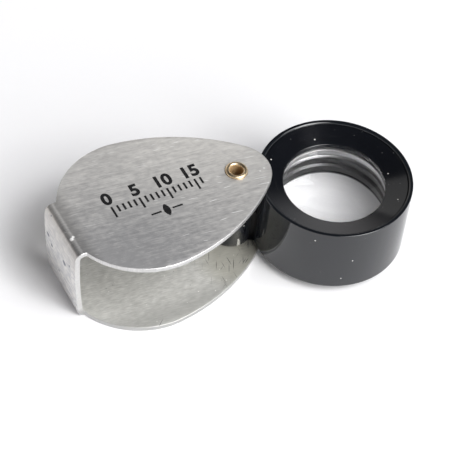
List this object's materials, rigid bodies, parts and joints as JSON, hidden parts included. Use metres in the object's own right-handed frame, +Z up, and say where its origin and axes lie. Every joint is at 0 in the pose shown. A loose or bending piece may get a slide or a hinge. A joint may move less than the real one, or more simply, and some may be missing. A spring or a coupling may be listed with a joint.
{
  "type": "folding pocket magnifier",
  "caption": "Pocket loupe: a black lens drum on a hollow brass pivot swings a full turn in and out of a U-bent brushed aluminium teardrop case.",
  "frame": {"origin": "middle of the hollow pivot eyelet's bore, half way between the outer faces of the two leaves", "axes": "+X from the case's web along its centre line to its tip, +Z up along the pivot, +Y completes the right-handed frame"},
  "size_m": [0.0601, 0.0334, 0.0163],
  "materials": {
    "case_aluminium": "brushed along the case, with bright sheared edges",
    "eyelet_brass": "worn bright on the rolled head, dark in the bore",
    "black_body": "glossy black",
    "black_bezel": "glossy black, slightly softer than the drum",
    "optical_glass": "polished",
    "spacer_aluminium": "turned, satin",
    "printed_black": "screen-printed ink"
  },
  "bodies": {
    "case": {"case_shell": "case_aluminium", "pivot_eyelet": "eyelet_brass"},
    "lens": {"lens_barrel": "black_body", "front_bezel": "black_bezel", "front_lens": "optical_glass", "spacer_ring": "spacer_aluminium", "rear_lens": "optical_glass"}
  },
  "joints": [
    {"name": "lens_swing", "type": "hinge", "parent": "case", "child": "lens", "pos_m": [0, 0, 0], "axis": [0, 0, 1], "continuous": true}
  ]
}
